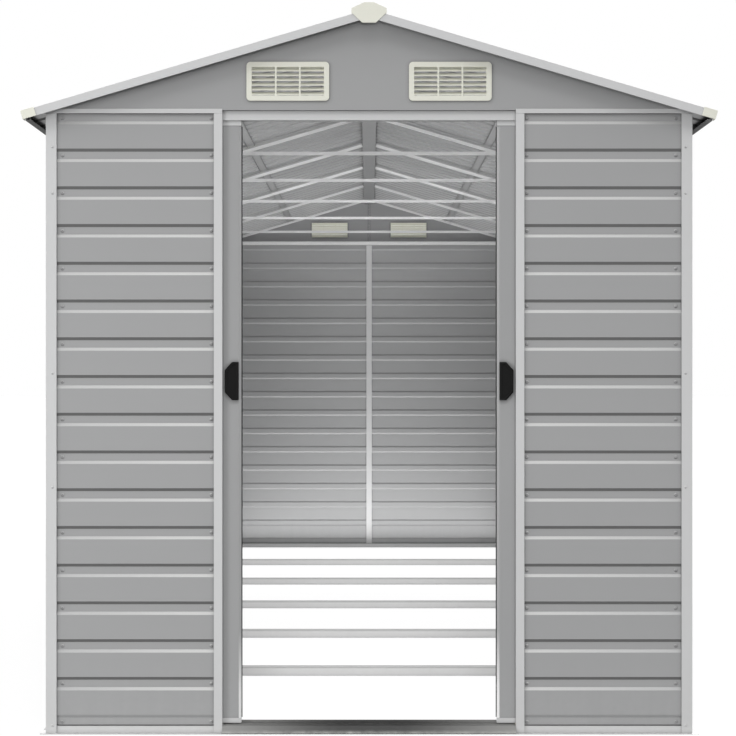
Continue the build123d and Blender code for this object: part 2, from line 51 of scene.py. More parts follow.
# %% [markdown]
# ## The view
# The shed is seen straight from the front, at about breast height and from far away, so the walls keep
# their straight lines and the rear wall shows small through the doorway. A long lens gives that flat
# view. The lens shift moves the picture by a pixel or two, which is better than tilting the camera,
# because a tilt would make the posts lean.

# %% Camera
PICTURE = 736                    # pixels on each side
FOCAL_PIXELS = 1856              # focal length in pixels of that picture
SENSOR = 36.0                    # millimetres
EYE = Vector((0.0, -7.795, 0.9964))
VANISHING_POINT = (369.1, 370.4)  # pixels from the left and from the top
FARTHEST = 200.0                 # the camera sees the floor to its edge

view_data = bpy.data.cameras.new("front_view")
view_data.sensor_width = SENSOR
view_data.lens = FOCAL_PIXELS / PICTURE * SENSOR
view_data.shift_x = (PICTURE / 2 - VANISHING_POINT[0]) / PICTURE
view_data.shift_y = (VANISHING_POINT[1] - PICTURE / 2) / PICTURE
view_data.clip_end = FARTHEST
view = bpy.data.objects.new("front_view", view_data)
view.location = EYE
view.rotation_euler = (math.radians(90), 0, 0)
scene.collection.objects.link(view)
scene.camera = view
scene.view_settings.view_transform = "Standard"
print("lens:", round(view_data.lens, 1), "mm")
print("shift:", round(view_data.shift_x, 4), round(view_data.shift_y, 4))

# %% [markdown]
# ## Nodes
# Surroundings, floor and finishes are all made of shader nodes. Typed out one by one, they would fill
# pages with the same three lines: make a node, set its values, link it. A few short helpers say that
# once, so that the later cells read like the thing that they make.

# %% Node helpers
WHOLE = (0.0, 1.0)               # the span of a share


def add_node(tree, kind, **settings):
    """A new node; values for its inputs are given by name, other settings as attributes."""
    node = tree.nodes.new(kind)
    for name, value in settings.items():
        if hasattr(node, name):
            setattr(node, name, value)
        else:
            node.inputs[name.replace("_", " ")].default_value = value
    return node


def connect(tree, socket, value):
    """Links another node's output to a socket, or sets the socket to a number or a colour."""
    if isinstance(value, bpy.types.NodeSocket):
        tree.links.new(value, socket)
    else:
        socket.default_value = value


def math_node(tree, operation, *operands):
    """The output of a math node; each operand is a number or another node's output."""
    node = add_node(tree, "ShaderNodeMath", operation=operation)
    for socket, value in zip(node.inputs, operands):
        connect(tree, socket, value)
    return node.outputs[0]


def ramp(tree, value, span, levels=WHOLE, curve="LINEAR"):
    """Turns the span of a value into the levels, and holds the levels beyond its ends."""
    node = add_node(tree, "ShaderNodeMapRange", interpolation_type=curve)
    for name, setting in zip(("Value", "From Min", "From Max", "To Min", "To Max"), (value, *span, *levels)):
        connect(tree, node.inputs[name], setting)
    return node.outputs[0]


def parts_of(tree, vector):
    """The X, Y and Z outputs of a vector."""
    split = add_node(tree, "ShaderNodeSeparateXYZ")
    tree.links.new(vector, split.inputs[0])
    return split.outputs


# %% [markdown]
# ## Floor and background
# The shed stands on a plain pale floor in front of white. One way to get white is to pour on light, but
# that would bleach the paint. Here the world and the floor look white only to the rays that come from
# the camera, or that a glossy surface sends out. To all other rays they give a plain, even light, and
# the floor stays a real diffuse surface under its glow, so that the shed's shadow remains on it.

# %% Surroundings
LOW_LIGHT, HIGH_LIGHT = 0.12, 0.60  # from the horizon and from overhead
WHITE = (1, 1, 1, 1)


def seen_directly(tree):
    """One for camera, glossy and transmission rays, and zero for all others."""
    path = add_node(tree, "ShaderNodeLightPath")
    first = math_node(tree, "MAXIMUM", path.outputs["Is Camera Ray"], path.outputs["Is Glossy Ray"])
    return math_node(tree, "MAXIMUM", first, path.outputs["Is Transmission Ray"])


world = bpy.data.worlds.new("studio_surroundings")
scene.world = world
world.use_nodes = True
sky = world.node_tree
sky_direction = add_node(sky, "ShaderNodeTexCoord").outputs["Generated"]
dome = ramp(sky, parts_of(sky, sky_direction)["Z"], WHOLE, (LOW_LIGHT, HIGH_LIGHT))
background = sky.nodes["Background"]
background.inputs["Color"].default_value = WHITE
connect(sky, background.inputs["Strength"], ramp(sky, seen_directly(sky), WHOLE, (dome, 1.0)))
print("surroundings:", LOW_LIGHT, "to", HIGH_LIGHT)

# %% Floor
FLOOR_REACH = 60.0
FLOOR_GLOW = 0.84                # what the camera sees of the floor besides its lit colour
FLOOR_COLOUR = (0.20, 0.20, 0.20, 1.0)


def mesh_piece(name, shape, material):
    """An object from a bmesh, with one material."""
    mesh = bpy.data.meshes.new(name)
    shape.to_mesh(mesh)
    shape.free()
    piece = bpy.data.objects.new(name, mesh)
    scene.collection.objects.link(piece)
    mesh.materials.append(material)
    return piece


floor_paint = bpy.data.materials.new("pale_floor")
floor_paint.use_nodes = True
floor_tree = floor_paint.node_tree
floor_tree.nodes.remove(floor_tree.nodes["Principled BSDF"])
matt = add_node(floor_tree, "ShaderNodeBsdfDiffuse", Color=FLOOR_COLOUR)
glow = add_node(floor_tree, "ShaderNodeEmission")
glow_strength = math_node(floor_tree, "MULTIPLY", seen_directly(floor_tree), FLOOR_GLOW)
both = add_node(floor_tree, "ShaderNodeAddShader")
floor_tree.links.new(glow_strength, glow.inputs["Strength"])
floor_tree.links.new(matt.outputs[0], both.inputs[0])
floor_tree.links.new(glow.outputs[0], both.inputs[1])
floor_tree.links.new(both.outputs[0], floor_tree.nodes["Material Output"].inputs["Surface"])

ground = bmesh.new()
ground.faces.new([ground.verts.new((x * FLOOR_REACH, y * FLOOR_REACH, 0))
                  for x, y in ((-1, -1), (1, -1), (1, 1), (-1, 1))])
floor = mesh_piece("studio_floor", ground, floor_paint)
print("floor:", 2 * FLOOR_REACH, "m wide")

# %% [markdown]
# ## Light
# A photographer would light such a shed softly, from the front and from above. A broad sun gives the
# soft shadow under the edge of the roof. A soft box far behind the camera lights what the camera sees,
# also through the doorway, and another at the left makes that side a little lighter. Weak suns light
# the rear and the sides. A sun has no place, only a direction, so its distance doesn't matter.

# %% Lamps outside
SUN_DISTANCE = 10.0
FRONT_WALL = -2.7                # where the front lamps aim
WEAK_SUN = {"share": 0.42, "spread": 40}


def aim(lamp, place, target):
    """Puts a lamp in its place and turns it to the target."""
    lamp.location = place
    lamp.rotation_euler = (Vector(target) - Vector(place)).to_track_quat("-Z", "Y").to_euler()


def broad_sun(name, toward, share, spread):
    """Parallel soft light; the share is what it adds to a white surface that faces it."""
    data = bpy.data.lights.new(name, "SUN")
    data.energy = share * math.pi
    data.angle = math.radians(spread)
    lamp = bpy.data.objects.new(name, data)
    scene.collection.objects.link(lamp)
    aim(lamp, Vector(toward) * SUN_DISTANCE, (0, 0, 0))


def soft_box(name, place, target, width, depth, brightness, mirrored=True, spread=180):
    """Rectangular lamp of the given brightness; the spread is the angle of its beam."""
    data = bpy.data.lights.new(name, "AREA")
    data.shape = "RECTANGLE"
    data.size = width
    data.size_y = depth
    data.energy = brightness * width * depth * math.pi
    data.spread = math.radians(spread)
    lamp = bpy.data.objects.new(name, data)
    lamp.visible_camera = False
    lamp.visible_glossy = mirrored
    scene.collection.objects.link(lamp)
    aim(lamp, place, target)


broad_sun("light_from_above", toward=(0.06, -1.0, 0.90), share=0.20, spread=24)
soft_box("front_light", place=(0.0, -20.0, 0.95), target=(0, FRONT_WALL, 0.95), width=3.0, depth=1.6,
         brightness=38.0, mirrored=False)
soft_box("front_left_light", place=(-3.6, -6.6, 1.0), target=(0, FRONT_WALL, 0.9), width=1.6, depth=1.6,
         brightness=9.5, mirrored=False)
broad_sun("rear_light", toward=(0.2, 1.0, 0.50), **WEAK_SUN)
broad_sun("left_light", toward=(-1.0, -0.10, 0.40), **WEAK_SUN)
broad_sun("right_light", toward=(1.0, -0.05, 0.40), **WEAK_SUN)

# %% [markdown]
# ### Light indoors
# Indoors the real light comes from the pale ground, again and again off the metal, which a renderer
# needs many bounces for. Wide and weak lamps just over the ground stand for it here, and leave the upper
# part of the rear wall darker than its foot. Narrow lamps, with a beam as from a grid, light the front
# faces of the roof frame, the rear gable and the floor bars, and the ribs behind them keep their shade.

# %% Lamps indoors
FRAME_PITCH = 0.86               # from post to post along the shed
FRAME_COUNT = 5
FRAMES = [(i - (FRAME_COUNT - 1) / 2) * FRAME_PITCH for i in range(FRAME_COUNT)]  # posts, trusses, floor bars
REAR_FOOT = 2.66                 # inner edge of the rear base rail
ROOM = {"width": 1.66, "depth": 5.2}
TRUSS_AHEAD, TRUSS_LAMP_HEIGHT, TRUSS_HEIGHT = 0.75, 1.66, 1.80
TRUSS_LIGHT, LAST_TRUSS_LIGHT = 1.15, 0.10  # little for the last one, so that the gable behind it stays dark
GABLE_HEIGHT = 1.74
BAR_AHEAD, BAR_LAMP_HEIGHT, BAR_HEIGHT = 0.50, 0.12, 0.03

soft_box("light_from_ground", place=(0, 0.0, 0.034), target=(0, 0.0, 1), brightness=0.64, **ROOM)
soft_box("light_at_rear_wall", place=(0, 2.1, 0.036), target=(0, 2.1, 1), brightness=1.9,
         width=1.6, depth=1.0)
soft_box("light_on_ground", place=(0, 0.0, 0.032), target=(0, 0.0, 0), brightness=0.60, **ROOM)
for y in FRAMES:
    soft_box("light_on_truss", place=(0, y - TRUSS_AHEAD, TRUSS_LAMP_HEIGHT), target=(0, y, TRUSS_HEIGHT),
             width=1.5, depth=0.10, brightness=TRUSS_LIGHT if y < FRAMES[-1] else LAST_TRUSS_LIGHT,
             mirrored=False, spread=50)
soft_box("light_on_rear_gable", place=(0, 2.10, GABLE_HEIGHT), target=(0, 2.7, GABLE_HEIGHT),
         width=1.5, depth=0.06, brightness=0.42, mirrored=False, spread=60)
for y in (*FRAMES[1:], REAR_FOOT):
    soft_box("light_on_floor_bar", place=(0, y - BAR_AHEAD, BAR_LAMP_HEIGHT), target=(0, y, BAR_HEIGHT),
             width=1.6, depth=0.08, brightness=0.35, mirrored=False, spread=60)

# %% [markdown]
# ## Effects that several finishes share
# Paint on roll-formed sheet has a faint orange-peel skin and long, shallow waves from the rollers.
# Dust settles near the ground and runs down in faint streaks, and the paint thins on sharp folds. The
# ledges of the ribs get a painted highlight, and corners and the lower sides of the ribs get painted
# shade. Painting these into each material would repeat the same nodes many times, so each effect is a
# node group with named sockets. A group gives out only colours, masks, heights and normals. The shader
# that uses them stays in the material.

# %% Group builder
def new_group(name, inputs, outputs):
    """An empty node group with its sockets; a socket is (name, kind, value)."""
    group = bpy.data.node_groups.new(name, "ShaderNodeTree")
    for in_or_out, sockets in (("INPUT", inputs), ("OUTPUT", outputs)):
        for socket_name, kind, *value in sockets:
            socket = group.interface.new_socket(socket_name, in_out=in_or_out,
                                                socket_type="NodeSocket" + kind)
            if value:
                socket.default_value = value[0]
    return group, add_node(group, "NodeGroupInput"), add_node(group, "NodeGroupOutput")


# %% [markdown]
# ### Masks from place and direction
# Most marks here depend on where a surface is and which way it looks: the painted highlight lies on
# ledges that look up and out of the shed, and the painted shade under the ribs is weaker on faces that
# look into it. Both can be read in the shader. The piece's own coordinates are the shed's, because every
# piece keeps its place in the frame. A face looks out of the shed where its direction agrees with its
# place as seen from the middle. The undersides of the eaves lean inwards only a little, and count as
# outdoors.

# %% Helpers for masks
EVEN = (1, 1, 1)                 # noise that is alike in all directions
IN_PLAN = (1, 1, 0)
INDOORS_TO_OUTDOORS = (-0.60, -0.35)


def product(tree, *factors):
    """All the factors multiplied; the first is an output, the others are outputs or numbers."""
    result = factors[0]
    for factor in factors[1:]:
        result = math_node(tree, "MULTIPLY", result, factor)
    return result


def stretched_noise(tree, stretch, scale, detail=2.0):
    """Noise in the piece's own coordinates, squeezed along each axis by the stretch."""
    place = add_node(tree, "ShaderNodeTexCoord")
    mapping = add_node(tree, "ShaderNodeMapping", Scale=stretch)
    noise = add_node(tree, "ShaderNodeTexNoise", Detail=detail)
    connect(tree, noise.inputs["Scale"], scale)
    tree.links.new(place.outputs["Object"], mapping.inputs["Vector"])
    tree.links.new(mapping.outputs[0], noise.inputs["Vector"])
    return noise.outputs["Fac"]


def place_in_shed(tree):
    """Outputs for a point's distance from the middle, place along the shed and height."""
    place = parts_of(tree, add_node(tree, "ShaderNodeTexCoord").outputs["Object"])
    return math_node(tree, "ABSOLUTE", place["X"]), place["Y"], place["Z"]


def looking_up(tree):
    """One where a face looks straight up, zero on upright faces, minus one on level undersides."""
    surface = add_node(tree, "ShaderNodeNewGeometry")
    return parts_of(tree, surface.outputs["True Normal"])["Z"]


def facing_out(tree, indoors=0.0):
    """One on faces that look out of the shed or straight up or down; on others the value for indoors."""
    place = add_node(tree, "ShaderNodeTexCoord")
    plan = add_node(tree, "ShaderNodeVectorMath", operation="MULTIPLY")
    plan.inputs[1].default_value = IN_PLAN
    surface = add_node(tree, "ShaderNodeNewGeometry")
    outward = add_node(tree, "ShaderNodeVectorMath", operation="DOT_PRODUCT")
    tree.links.new(place.outputs["Object"], plan.inputs[0])
    tree.links.new(plan.outputs[0], outward.inputs[0])
    tree.links.new(surface.outputs["True Normal"], outward.inputs[1])
    return ramp(tree, outward.outputs["Value"], INDOORS_TO_OUTDOORS, (indoors, 1.0))


def mix_colours(tree, mask, first, second):
    """The first colour where the mask is zero, and the second where it is one."""
    node = add_node(tree, "ShaderNodeMix", data_type="RGBA")
    for name, value in (("Factor", mask), ("A", first), ("B", second)):
        connect(tree, node.inputs[name], value)
    return node.outputs["Result"]


# %% [markdown]
# ### Skin of the paint
# Seen close, sprayed paint is not flat: it has bumps of about two millimetres, like orange peel. Thin
# sheet also bulges by a fraction of a millimetre between its fixings. Both are too small for geometry,
# so the group gives a height for a bump node, and a value that makes the gloss uneven.

# %% Paint skin group
PEEL_SHARE = 0.05                # height of the fine bumps beside that of the waves
WAVE_STRETCH = (1, 1, 1.8)
GLOSS_PATCHES = 14.0             # patches per metre
MIDDLE_OF_NOISE = 0.5


def build_paint_skin():
    group, start, end = new_group("paint_skin", [("Grain", "Float", 380.0), ("Wave", "Float", 2.6)],
                                  [("Height", "Float"), ("Gloss Shift", "Float")])
    peel = stretched_noise(group, EVEN, start.outputs["Grain"])
    wave = stretched_noise(group, WAVE_STRETCH, start.outputs["Wave"], detail=1.0)
    patches = stretched_noise(group, EVEN, GLOSS_PATCHES, detail=3.0)
    connect(group, end.inputs["Height"], math_node(group, "MULTIPLY_ADD", peel, PEEL_SHARE, wave))
    connect(group, end.inputs["Gloss Shift"], math_node(group, "SUBTRACT", patches, MIDDLE_OF_NOISE))
    return group


paint_skin = build_paint_skin()
print("group:", paint_skin.name, [s.name for s in paint_skin.interface.items_tree])

# %% [markdown]
# ### Dust, rain streaks and a painted highlight on the ledges
# Rain carries dust down a wall and splashes soil against its foot. The mask is strongest at the ground
# and fades upwards, and a noise that is squeezed sideways and stretched upwards gives the streaks. The
# ledges of the ribs that look up and out of the shed get a painted highlight in the same pale colour,
# added to the same mask. It fades at the ends of the ledges beside the corner posts of the gable walls,
# most of all near the ground. The shed is nearly new, so the streaks are kept faint. The same group also
# varies the clean colour a little.

# %% Weathering and ledge highlight group
FOOT_DUST, HIGH_DUST = 1.0, 0.03  # at the ground and above the foot height
STREAKS = (34, 34, 1.1)
SPECKS = 60.0                    # specks per metre
DUST_GAIN = 3.0                  # because the product of two noises is small
LEDGE_SLOPES = (0.2, 0.4)        # a face that looks up by this much gets the painted highlight
LEDGE_ENDS = (0.40, 0.88)        # from the jambs to the corner posts
GABLE_WALLS = 2.6                # the gable walls lie beyond this, from the middle of the shed
HIGHLIGHT_FADE_HEIGHTS, HIGHLIGHT_FADE_SHARES = (0.1, 1.7), (0.85, 0.25)
CLOUDS, CLOUD_SHADES = 5.0, (0.98, 1.02)  # per metre, and what they do to the clean colour


def build_weathering_and_highlight():
    group, start, end = new_group(
        "weathering_and_highlight",
        [("Colour", "Color", (0.3, 0.3, 0.3, 1)), ("Dust Colour", "Color", (0.40, 0.38, 0.34, 1)),
         ("Dust", "Float", 0.25), ("Foot Height", "Float", 0.25), ("Ledge", "Float", 0.0)],
        [("Colour", "Color"), ("Dust Mask", "Float")])
    across, along, height = place_in_shed(group)
    foot = ramp(group, height, (0.0, start.outputs["Foot Height"]), (FOOT_DUST, HIGH_DUST), "SMOOTHSTEP")
    streaks = stretched_noise(group, STREAKS, 1.0, detail=3.0)
    specks = stretched_noise(group, EVEN, SPECKS, detail=4.0)
    splashed = product(group, foot, streaks, specks, DUST_GAIN, start.outputs["Dust"])
    gable_wall = math_node(group, "GREATER_THAN", math_node(group, "ABSOLUTE", along), GABLE_WALLS)
    highlight_fade = product(group, ramp(group, across, LEDGE_ENDS), gable_wall,
                     ramp(group, height, HIGHLIGHT_FADE_HEIGHTS, HIGHLIGHT_FADE_SHARES))
    # the painted highlight on ledges that look up and out, fading at the ends of the gable walls
    ledge = product(group, ramp(group, looking_up(group), LEDGE_SLOPES), start.outputs["Ledge"],
                    math_node(group, "SUBTRACT", 1.0, highlight_fade), facing_out(group))
    mask = math_node(group, "ADD", splashed, ledge)
    clean = add_node(group, "ShaderNodeVectorMath", operation="SCALE")
    clouds = stretched_noise(group, EVEN, CLOUDS, detail=3.0)
    connect(group, clean.inputs[0], start.outputs["Colour"])
    connect(group, clean.inputs["Scale"], ramp(group, clouds, WHOLE, CLOUD_SHADES))
    dusty_or_highlit = mix_colours(group, mask, clean.outputs[0], start.outputs["Dust Colour"])
    connect(group, end.inputs["Colour"], dusty_or_highlit)
    connect(group, end.inputs["Dust Mask"], mask)
    return group


weathering_and_highlight = build_weathering_and_highlight()
print("group:", weathering_and_highlight.name, len(weathering_and_highlight.nodes), "nodes")

# %% [markdown]
# ### Folds
# A folded edge is round, not knife-sharp, and it is where paint rubs off first. The bevel node looks at
# the surface within a small radius and gives the normal that a rounded edge would have. Where that
# differs from the flat normal there is a fold, so the difference also serves as the mask for wear.

# %% Fold group
FLAT_TO_FOLD = (0.995, 0.80)     # how far the rounded normal agrees with the flat one
CHIPS, CHIP_EDGES = 55.0, (0.45, 0.62)  # per metre, and where in the noise they begin and end
LOOKS_AROUND = 4                 # samples of the nodes that look at the neighbourhood


def build_fold_wear():
    group, start, end = new_group(
        "fold_wear", [("Radius", "Float", 0.0015), ("Wear", "Float", 0.4)],
        [("Mask", "Float"), ("Normal", "Vector")])
    rounded = add_node(group, "ShaderNodeBevel", samples=LOOKS_AROUND)
    connect(group, rounded.inputs["Radius"], start.outputs["Radius"])
    surface = add_node(group, "ShaderNodeNewGeometry")
    agreement = add_node(group, "ShaderNodeVectorMath", operation="DOT_PRODUCT")
    connect(group, agreement.inputs[0], rounded.outputs[0])
    connect(group, agreement.inputs[1], surface.outputs["Normal"])
    fold = ramp(group, agreement.outputs["Value"], FLAT_TO_FOLD)
    chips = ramp(group, stretched_noise(group, EVEN, CHIPS, detail=5.0), CHIP_EDGES)
    connect(group, end.inputs["Mask"], product(group, fold, chips, start.outputs["Wear"]))
    connect(group, end.inputs["Normal"], rounded.outputs[0])
    return group


fold_wear = build_fold_wear()
print("group:", fold_wear.name, len(fold_wear.nodes), "nodes")

# %% [markdown]
# ### Painted shade in corners
# The corners between posts and sheets, and the lower sides of the ribs, are painted darker as painted
# shade. The ambient occlusion node tells how closed in a point is, and the height part of the surface
# direction tells whether it looks down. The lowest rib gets none on its lower side, and indoors there
# is less of the painted shade.

# %% Painted shade group
LOOKING_DOWN = (-0.15, -0.40)
UNSHADED_TO_SHADED_HEIGHT = (0.05, 0.10)   # heights
INDOOR_SHARE = 0.3
MOST_PAINTED_SHADE = 0.85


def build_painted_corner_shade():
    group, start, end = new_group(
        "painted_corner_shade", [("Reach", "Float", 0.012), ("Corner", "Float", 0.9), ("Underside", "Float", 0.0)],
        [("Mask", "Float")])
    # painted shade in closed-in corners
    closed_in = add_node(group, "ShaderNodeAmbientOcclusion", samples=LOOKS_AROUND)
    connect(group, closed_in.inputs["Distance"], start.outputs["Reach"])
    hidden = math_node(group, "SUBTRACT", 1.0, closed_in.outputs["AO"])
    corner = product(group, hidden, start.outputs["Corner"])
    _, _, height = place_in_shed(group)
    # painted shade on the lower sides of the ribs, weaker indoors
    underside = product(group, ramp(group, looking_up(group), LOOKING_DOWN), start.outputs["Underside"],
                        ramp(group, height, UNSHADED_TO_SHADED_HEIGHT), facing_out(group, INDOOR_SHARE))
    mask = math_node(group, "MAXIMUM", corner, underside)
    connect(group, end.inputs["Mask"], math_node(group, "MINIMUM", mask, MOST_PAINTED_SHADE))
    return group


painted_corner_shade = build_painted_corner_shade()
print("group:", painted_corner_shade.name, len(painted_corner_shade.nodes), "nodes")

# %% [markdown]
# ## Painted sheet and painted folds
# All the metal of the shed is coil-coated steel: primer and a satin paint, baked on before the sheet is
# formed. The wall and roof sheets are mid grey. The posts, rails and trims are light grey, because that
# sets them off from the sheets. One function builds such a finish from the four groups, and each slot
# of the record calls it with its own colour, gloss, amount of dust and amount of painted shade. The
# ridge beam belongs to the slot of the roof sheets, but it hangs in the dark under the capping, so its
# paint is a darker grey as painted shade, and a little duller.

# %% Painted metal
# colour of the painted shade in corners and under ribs
PAINTED_SHADE_COLOUR = (0.050, 0.050, 0.048, 1)
PAINT_IOR, DULL_IOR = 1.72, 1.35
PAINT_GLOSS_SHIFT = 0.06         # how uneven the gloss is
MASKS_DULL = 0.5                 # what the dust and highlight mask and the painted shade mask add to the roughness
PAINT_BUMP = 0.0006


def new_finish(name):
    """A material, its node tree and its shader."""
    finish = bpy.data.materials.new(name)
    finish.use_nodes = True
    return finish, finish.node_tree, finish.node_tree.nodes["Principled BSDF"]


def add_relief(tree, shader, skin, folds, strength, distance):
    """Bumps from the skin, on the rounded normal of the folds."""
    bump = add_node(tree, "ShaderNodeBump", Strength=strength, Distance=distance)
    connect(tree, bump.inputs["Height"], skin.outputs["Height"])
    connect(tree, bump.inputs["Normal"], folds.outputs["Normal"])
    connect(tree, shader.inputs["Normal"], bump.outputs[0])


def painted_metal(name, colour, roughness, dust, worn_colour, wear, waves=0.5, underside=0.0, corner=0.9,
                  ior=PAINT_IOR, **dust_and_highlight_inputs):
    """Paint on sheet metal; further inputs go to the weathering group, for dust and the painted ledge
    highlight.
    """
    paint, tree, shader = new_finish(name)
    skin = add_node(tree, "ShaderNodeGroup", node_tree=paint_skin)
    weathering_node = add_node(tree, "ShaderNodeGroup", node_tree=weathering_and_highlight, Colour=(*colour, 1), Dust=dust, **dust_and_highlight_inputs)
    folds = add_node(tree, "ShaderNodeGroup", node_tree=fold_wear, Wear=wear)
    painted_shade = add_node(tree, "ShaderNodeGroup", node_tree=painted_corner_shade, Underside=underside, Corner=corner)
    worn = mix_colours(tree, folds.outputs["Mask"], weathering_node.outputs["Colour"], (*worn_colour, 1))
    # painted shade mixed into the colour
    connect(tree, shader.inputs["Base Color"], mix_colours(tree, painted_shade.outputs["Mask"], worn, PAINTED_SHADE_COLOUR))
    uneven = math_node(tree, "MULTIPLY_ADD", skin.outputs["Gloss Shift"], PAINT_GLOSS_SHIFT, roughness)
    dusty_or_highlit = math_node(tree, "MULTIPLY_ADD", weathering_node.outputs["Dust Mask"], MASKS_DULL, uneven)
    dull = math_node(tree, "MULTIPLY_ADD", painted_shade.outputs["Mask"], MASKS_DULL, dusty_or_highlit)
    connect(tree, shader.inputs["Roughness"], dull)
    shader.inputs["IOR"].default_value = ior
    add_relief(tree, shader, skin, folds, waves, PAINT_BUMP)
    return paint


# %% Metal finishes
SHEET_GREY, WORN_GREY = (0.330, 0.332, 0.335), (0.46, 0.46, 0.46)
TRIM_GREY, WORN_TRIM = (0.60, 0.603, 0.606), (0.72, 0.72, 0.72)
# a darker grey for the ridge beam, as painted shade
SHADED_BEAM_GREY = (0.225, 0.227, 0.230)
FRAME_GREY = (0.80, 0.80, 0.80)
SILL_GREY, WORN_SILL = (0.055, 0.055, 0.055), (0.20, 0.20, 0.20)
# pale colour of the dust at the foot and of the painted highlight on the ledges
LEDGE_HIGHLIGHT_AND_DUST = (0.76, 0.76, 0.75, 1)
SILL_FOOT_GREY = (0.52, 0.52, 0.50, 1)


def frame_paint(name):
    """The light paint of the bars in the shed."""
    return painted_metal(name, FRAME_GREY, roughness=0.40, dust=0.06, worn_colour=WORN_TRIM, wear=0.25,
                         corner=0.35)


finishes = {
    "wall_sheet": painted_metal("grey_wall_paint", SHEET_GREY, roughness=0.30, dust=0.05,
                                worn_colour=WORN_GREY, wear=0.25, underside=0.76, Dust_Colour=LEDGE_HIGHLIGHT_AND_DUST,
                                Ledge=0.64),
    "roof_sheet": painted_metal("grey_roof_paint", SHEET_GREY, roughness=0.36, dust=0.20,
                                worn_colour=WORN_GREY, wear=0.25, corner=0.35),
    "trim": painted_metal("light_trim_paint", TRIM_GREY, roughness=0.34, dust=0.08, worn_colour=WORN_TRIM,
                          wear=0.30, underside=0.85, corner=0.5),
    "frame": frame_paint("light_frame_paint"),
    # the sill is painted dark grey, and paler at its foot
    "sill": painted_metal("dark_sill_paint", SILL_GREY, roughness=0.60, dust=0.8, worn_colour=WORN_SILL,
                          wear=0.70, waves=0.7, ior=DULL_IOR, Dust_Colour=SILL_FOOT_GREY, Foot_Height=0.012),
}
beam_shaded_paint = painted_metal("shaded_beam_paint", SHADED_BEAM_GREY, roughness=0.40, dust=0.20, worn_colour=WORN_GREY,
                           wear=0.20)
print("finishes:", sorted(finishes))

# %% [markdown]
# ### Paler ends of the door sill
# The sill is painted dark grey, and paler towards the jambs. The distance from the middle of the doorway
# makes the mask, and a smooth step keeps its edge soft. Only the sill has this effect, so its few nodes
# go straight into the sill's material, between its colour and the shader.

# %% Paler sill ends
SILL_END_GREY = (0.42, 0.42, 0.41, 1)
MIDDLE_TO_JAMB = (0.06, 0.44)
SILL_END_SHARE = 0.6


def tint(paint, mask, colour):
    """Mixes a colour into a paint just before its shader."""
    tree = paint.node_tree
    base = tree.nodes["Principled BSDF"].inputs["Base Color"]
    connect(tree, base, mix_colours(tree, mask, base.links[0].from_socket, colour))


def paler_towards_jambs(paint):
    """The sill turns paler towards its ends."""
    tree = paint.node_tree
    across, _, _ = place_in_shed(tree)
    tint(paint, ramp(tree, across, MIDDLE_TO_JAMB, (0.0, SILL_END_SHARE), "SMOOTHSTEP"), SILL_END_GREY)


paler_towards_jambs(finishes["sill"])
print("sill nodes:", len(finishes["sill"].node_tree.nodes))

# %% [markdown]
# ### Painted shade over the rafters
# A narrow gap stays between the rafters and the roof sheets, and the upper edge of each rafter is painted
# darker as the shade of that gap. The distance under the sloping roof makes the mask. It needs the
# height and the distance from the middle, turned by the slope, so a few math nodes are enough. The
# angles along the gables touch the roof and have no such gap, so the mask ends before them.

# %% Painted shade on the rafters
APEX = 1.9692                    # underside of the sheets at the ridge
PITCH = math.radians(16.4)
UNSHADED_TO_SHADED_DEPTH = (0.0148, 0.0130)  # under the roof sheets
RAFTER_SHADE = (0.40, 0.40, 0.40, 1)


def shade_under_roof(paint):
    """Painted shade on the upper edge of the rafters between the gables."""
    tree = paint.node_tree
    across, along, height = place_in_shed(tree)
    sideways = math_node(tree, "MULTIPLY", across, math.sin(PITCH))
    below = math_node(tree, "MULTIPLY", math_node(tree, "SUBTRACT", APEX, height), math.cos(PITCH))
    edge = ramp(tree, math_node(tree, "SUBTRACT", below, sideways), UNSHADED_TO_SHADED_DEPTH)
    between = math_node(tree, "LESS_THAN", math_node(tree, "ABSOLUTE", along), GABLE_WALLS)
    # painted shade on the rafters' upper edge
    tint(paint, product(tree, edge, between), RAFTER_SHADE)


rafter_paint = frame_paint("rafter_paint")
shade_under_roof(rafter_paint)
special_paint = {"ridge_beam": beam_shaded_paint, "left_rafters": rafter_paint, "right_rafters": rafter_paint}
print("rafter nodes:", len(rafter_paint.node_tree.nodes))

# %% [markdown]
# ### Painted light and shade at edges
# Four more marks belong to one place each. A dark line of painted shade runs along the foot of the wall
# sheets, where they stand in the base rail. The bevels of the doors carry a pale painted reflection of
# the floor near the ground. The upper edges of the floor bars are painted dark as shade. And the roof
# sheets are painted dark as shade where they stick out under the eaves. Each is a mask from the place,
# mixed into the paint as before.

# %% Edge marks
FOOT_LINE = (0.0232, 0.0220)     # heights between which the dark line begins
FOOT_SHADE = (0.05, 0.05, 0.05, 1)
BEVEL_END = 0.3592               # bevels of the open doors, from the middle
DOOR_PLANE = -2.6                # the doors lie in front of this
REFLECTION_HEIGHTS = (0.28, 0.10)            # heights between which the bevels turn pale
FLOOR_REFLECTION = (0.85, 0.85, 0.85, 1)
BAR_SHADE_HEIGHTS = (0.0242, 0.0258)       # heights between which the edge of a floor bar turns dark
BAR_TOP = 0.030
BAR_EDGE_SHADE = (0.50, 0.50, 0.50, 1)
WALL_FACE = 0.8880               # the eaves lie beyond this, from the middle
EAVE_SHADE = (0.06, 0.06, 0.06, 1)


